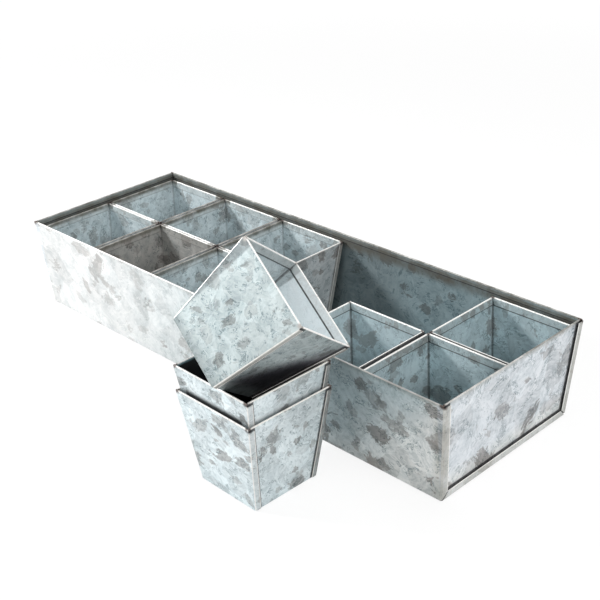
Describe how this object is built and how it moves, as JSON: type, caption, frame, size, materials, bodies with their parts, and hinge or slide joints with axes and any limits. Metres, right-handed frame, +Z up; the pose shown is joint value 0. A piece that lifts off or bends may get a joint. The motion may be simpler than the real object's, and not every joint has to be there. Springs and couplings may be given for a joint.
{
  "type": "indoor herb planter",
  "caption": "Long tapered sheet-metal tray holding square tapered pots in two rows, with a nested and a tilted pot stacked in front of it.",
  "frame": {"origin": "middle of the tray's underside", "axes": "+X along the tray, -Y towards the stacked pots, +Z up"},
  "size_m": [0.4934, 0.2778, 0.1961],
  "materials": {
    "galvanised_steel": "spangled zinc coat, semi-matt"
  },
  "bodies": {
    "tray": {"tray_trough": "galvanised_steel", "tray_end_left": "galvanised_steel", "tray_end_right": "galvanised_steel"},
    "pot_front_1": {"pot_front_1": "galvanised_steel"},
    "pot_front_2": {"pot_front_2": "galvanised_steel"},
    "pot_front_3": {"pot_front_3": "galvanised_steel"},
    "pot_front_5": {"pot_front_5": "galvanised_steel"},
    "pot_front_6": {"pot_front_6": "galvanised_steel"},
    "pot_back_1": {"pot_back_1": "galvanised_steel"},
    "pot_back_2": {"pot_back_2": "galvanised_steel"},
    "pot_back_3": {"pot_back_3": "galvanised_steel"},
    "pot_back_6": {"pot_back_6": "galvanised_steel"},
    "pot_stack_lower": {"pot_stack_lower": "galvanised_steel"},
    "pot_stack_middle": {"pot_stack_middle": "galvanised_steel"},
    "pot_stack_tilted": {"pot_stack_tilted": "galvanised_steel"}
  },
  "joints": [
    {"name": "lift_pot_front_1", "type": "slide", "parent": "tray", "child": "pot_front_1", "axis": [0, 0, 1], "range_m": [0, 0.1]},
    {"name": "lift_pot_front_2", "type": "slide", "parent": "tray", "child": "pot_front_2", "axis": [0, 0, 1], "range_m": [0, 0.1]},
    {"name": "lift_pot_front_3", "type": "slide", "parent": "tray", "child": "pot_front_3", "axis": [0, 0, 1], "range_m": [0, 0.1]},
    {"name": "lift_pot_front_5", "type": "slide", "parent": "tray", "child": "pot_front_5", "axis": [0, 0, 1], "range_m": [0, 0.1]},
    {"name": "lift_pot_front_6", "type": "slide", "parent": "tray", "child": "pot_front_6", "axis": [0, 0, 1], "range_m": [0, 0.1]},
    {"name": "lift_pot_back_1", "type": "slide", "parent": "tray", "child": "pot_back_1", "axis": [0, 0, 1], "range_m": [0, 0.1]},
    {"name": "lift_pot_back_2", "type": "slide", "parent": "tray", "child": "pot_back_2", "axis": [0, 0, 1], "range_m": [0, 0.1]},
    {"name": "lift_pot_back_3", "type": "slide", "parent": "tray", "child": "pot_back_3", "axis": [0, 0, 1], "range_m": [0, 0.1]},
    {"name": "lift_pot_back_6", "type": "slide", "parent": "tray", "child": "pot_back_6", "axis": [0, 0, 1], "range_m": [0, 0.1]},
    {"name": "lift_pot_stack_lower", "type": "slide", "parent": "tray", "child": "pot_stack_lower", "axis": [0, 0, 1], "range_m": [0, 0.1]},
    {"name": "lift_pot_stack_middle", "type": "slide", "parent": "pot_stack_lower", "child": "pot_stack_middle", "axis": [0, 0, 1], "range_m": [0, 0.07]},
    {"name": "lift_pot_stack_tilted", "type": "slide", "parent": "pot_stack_middle", "child": "pot_stack_tilted", "axis": [0, 0, 1], "range_m": [0, 0.05]}
  ]
}
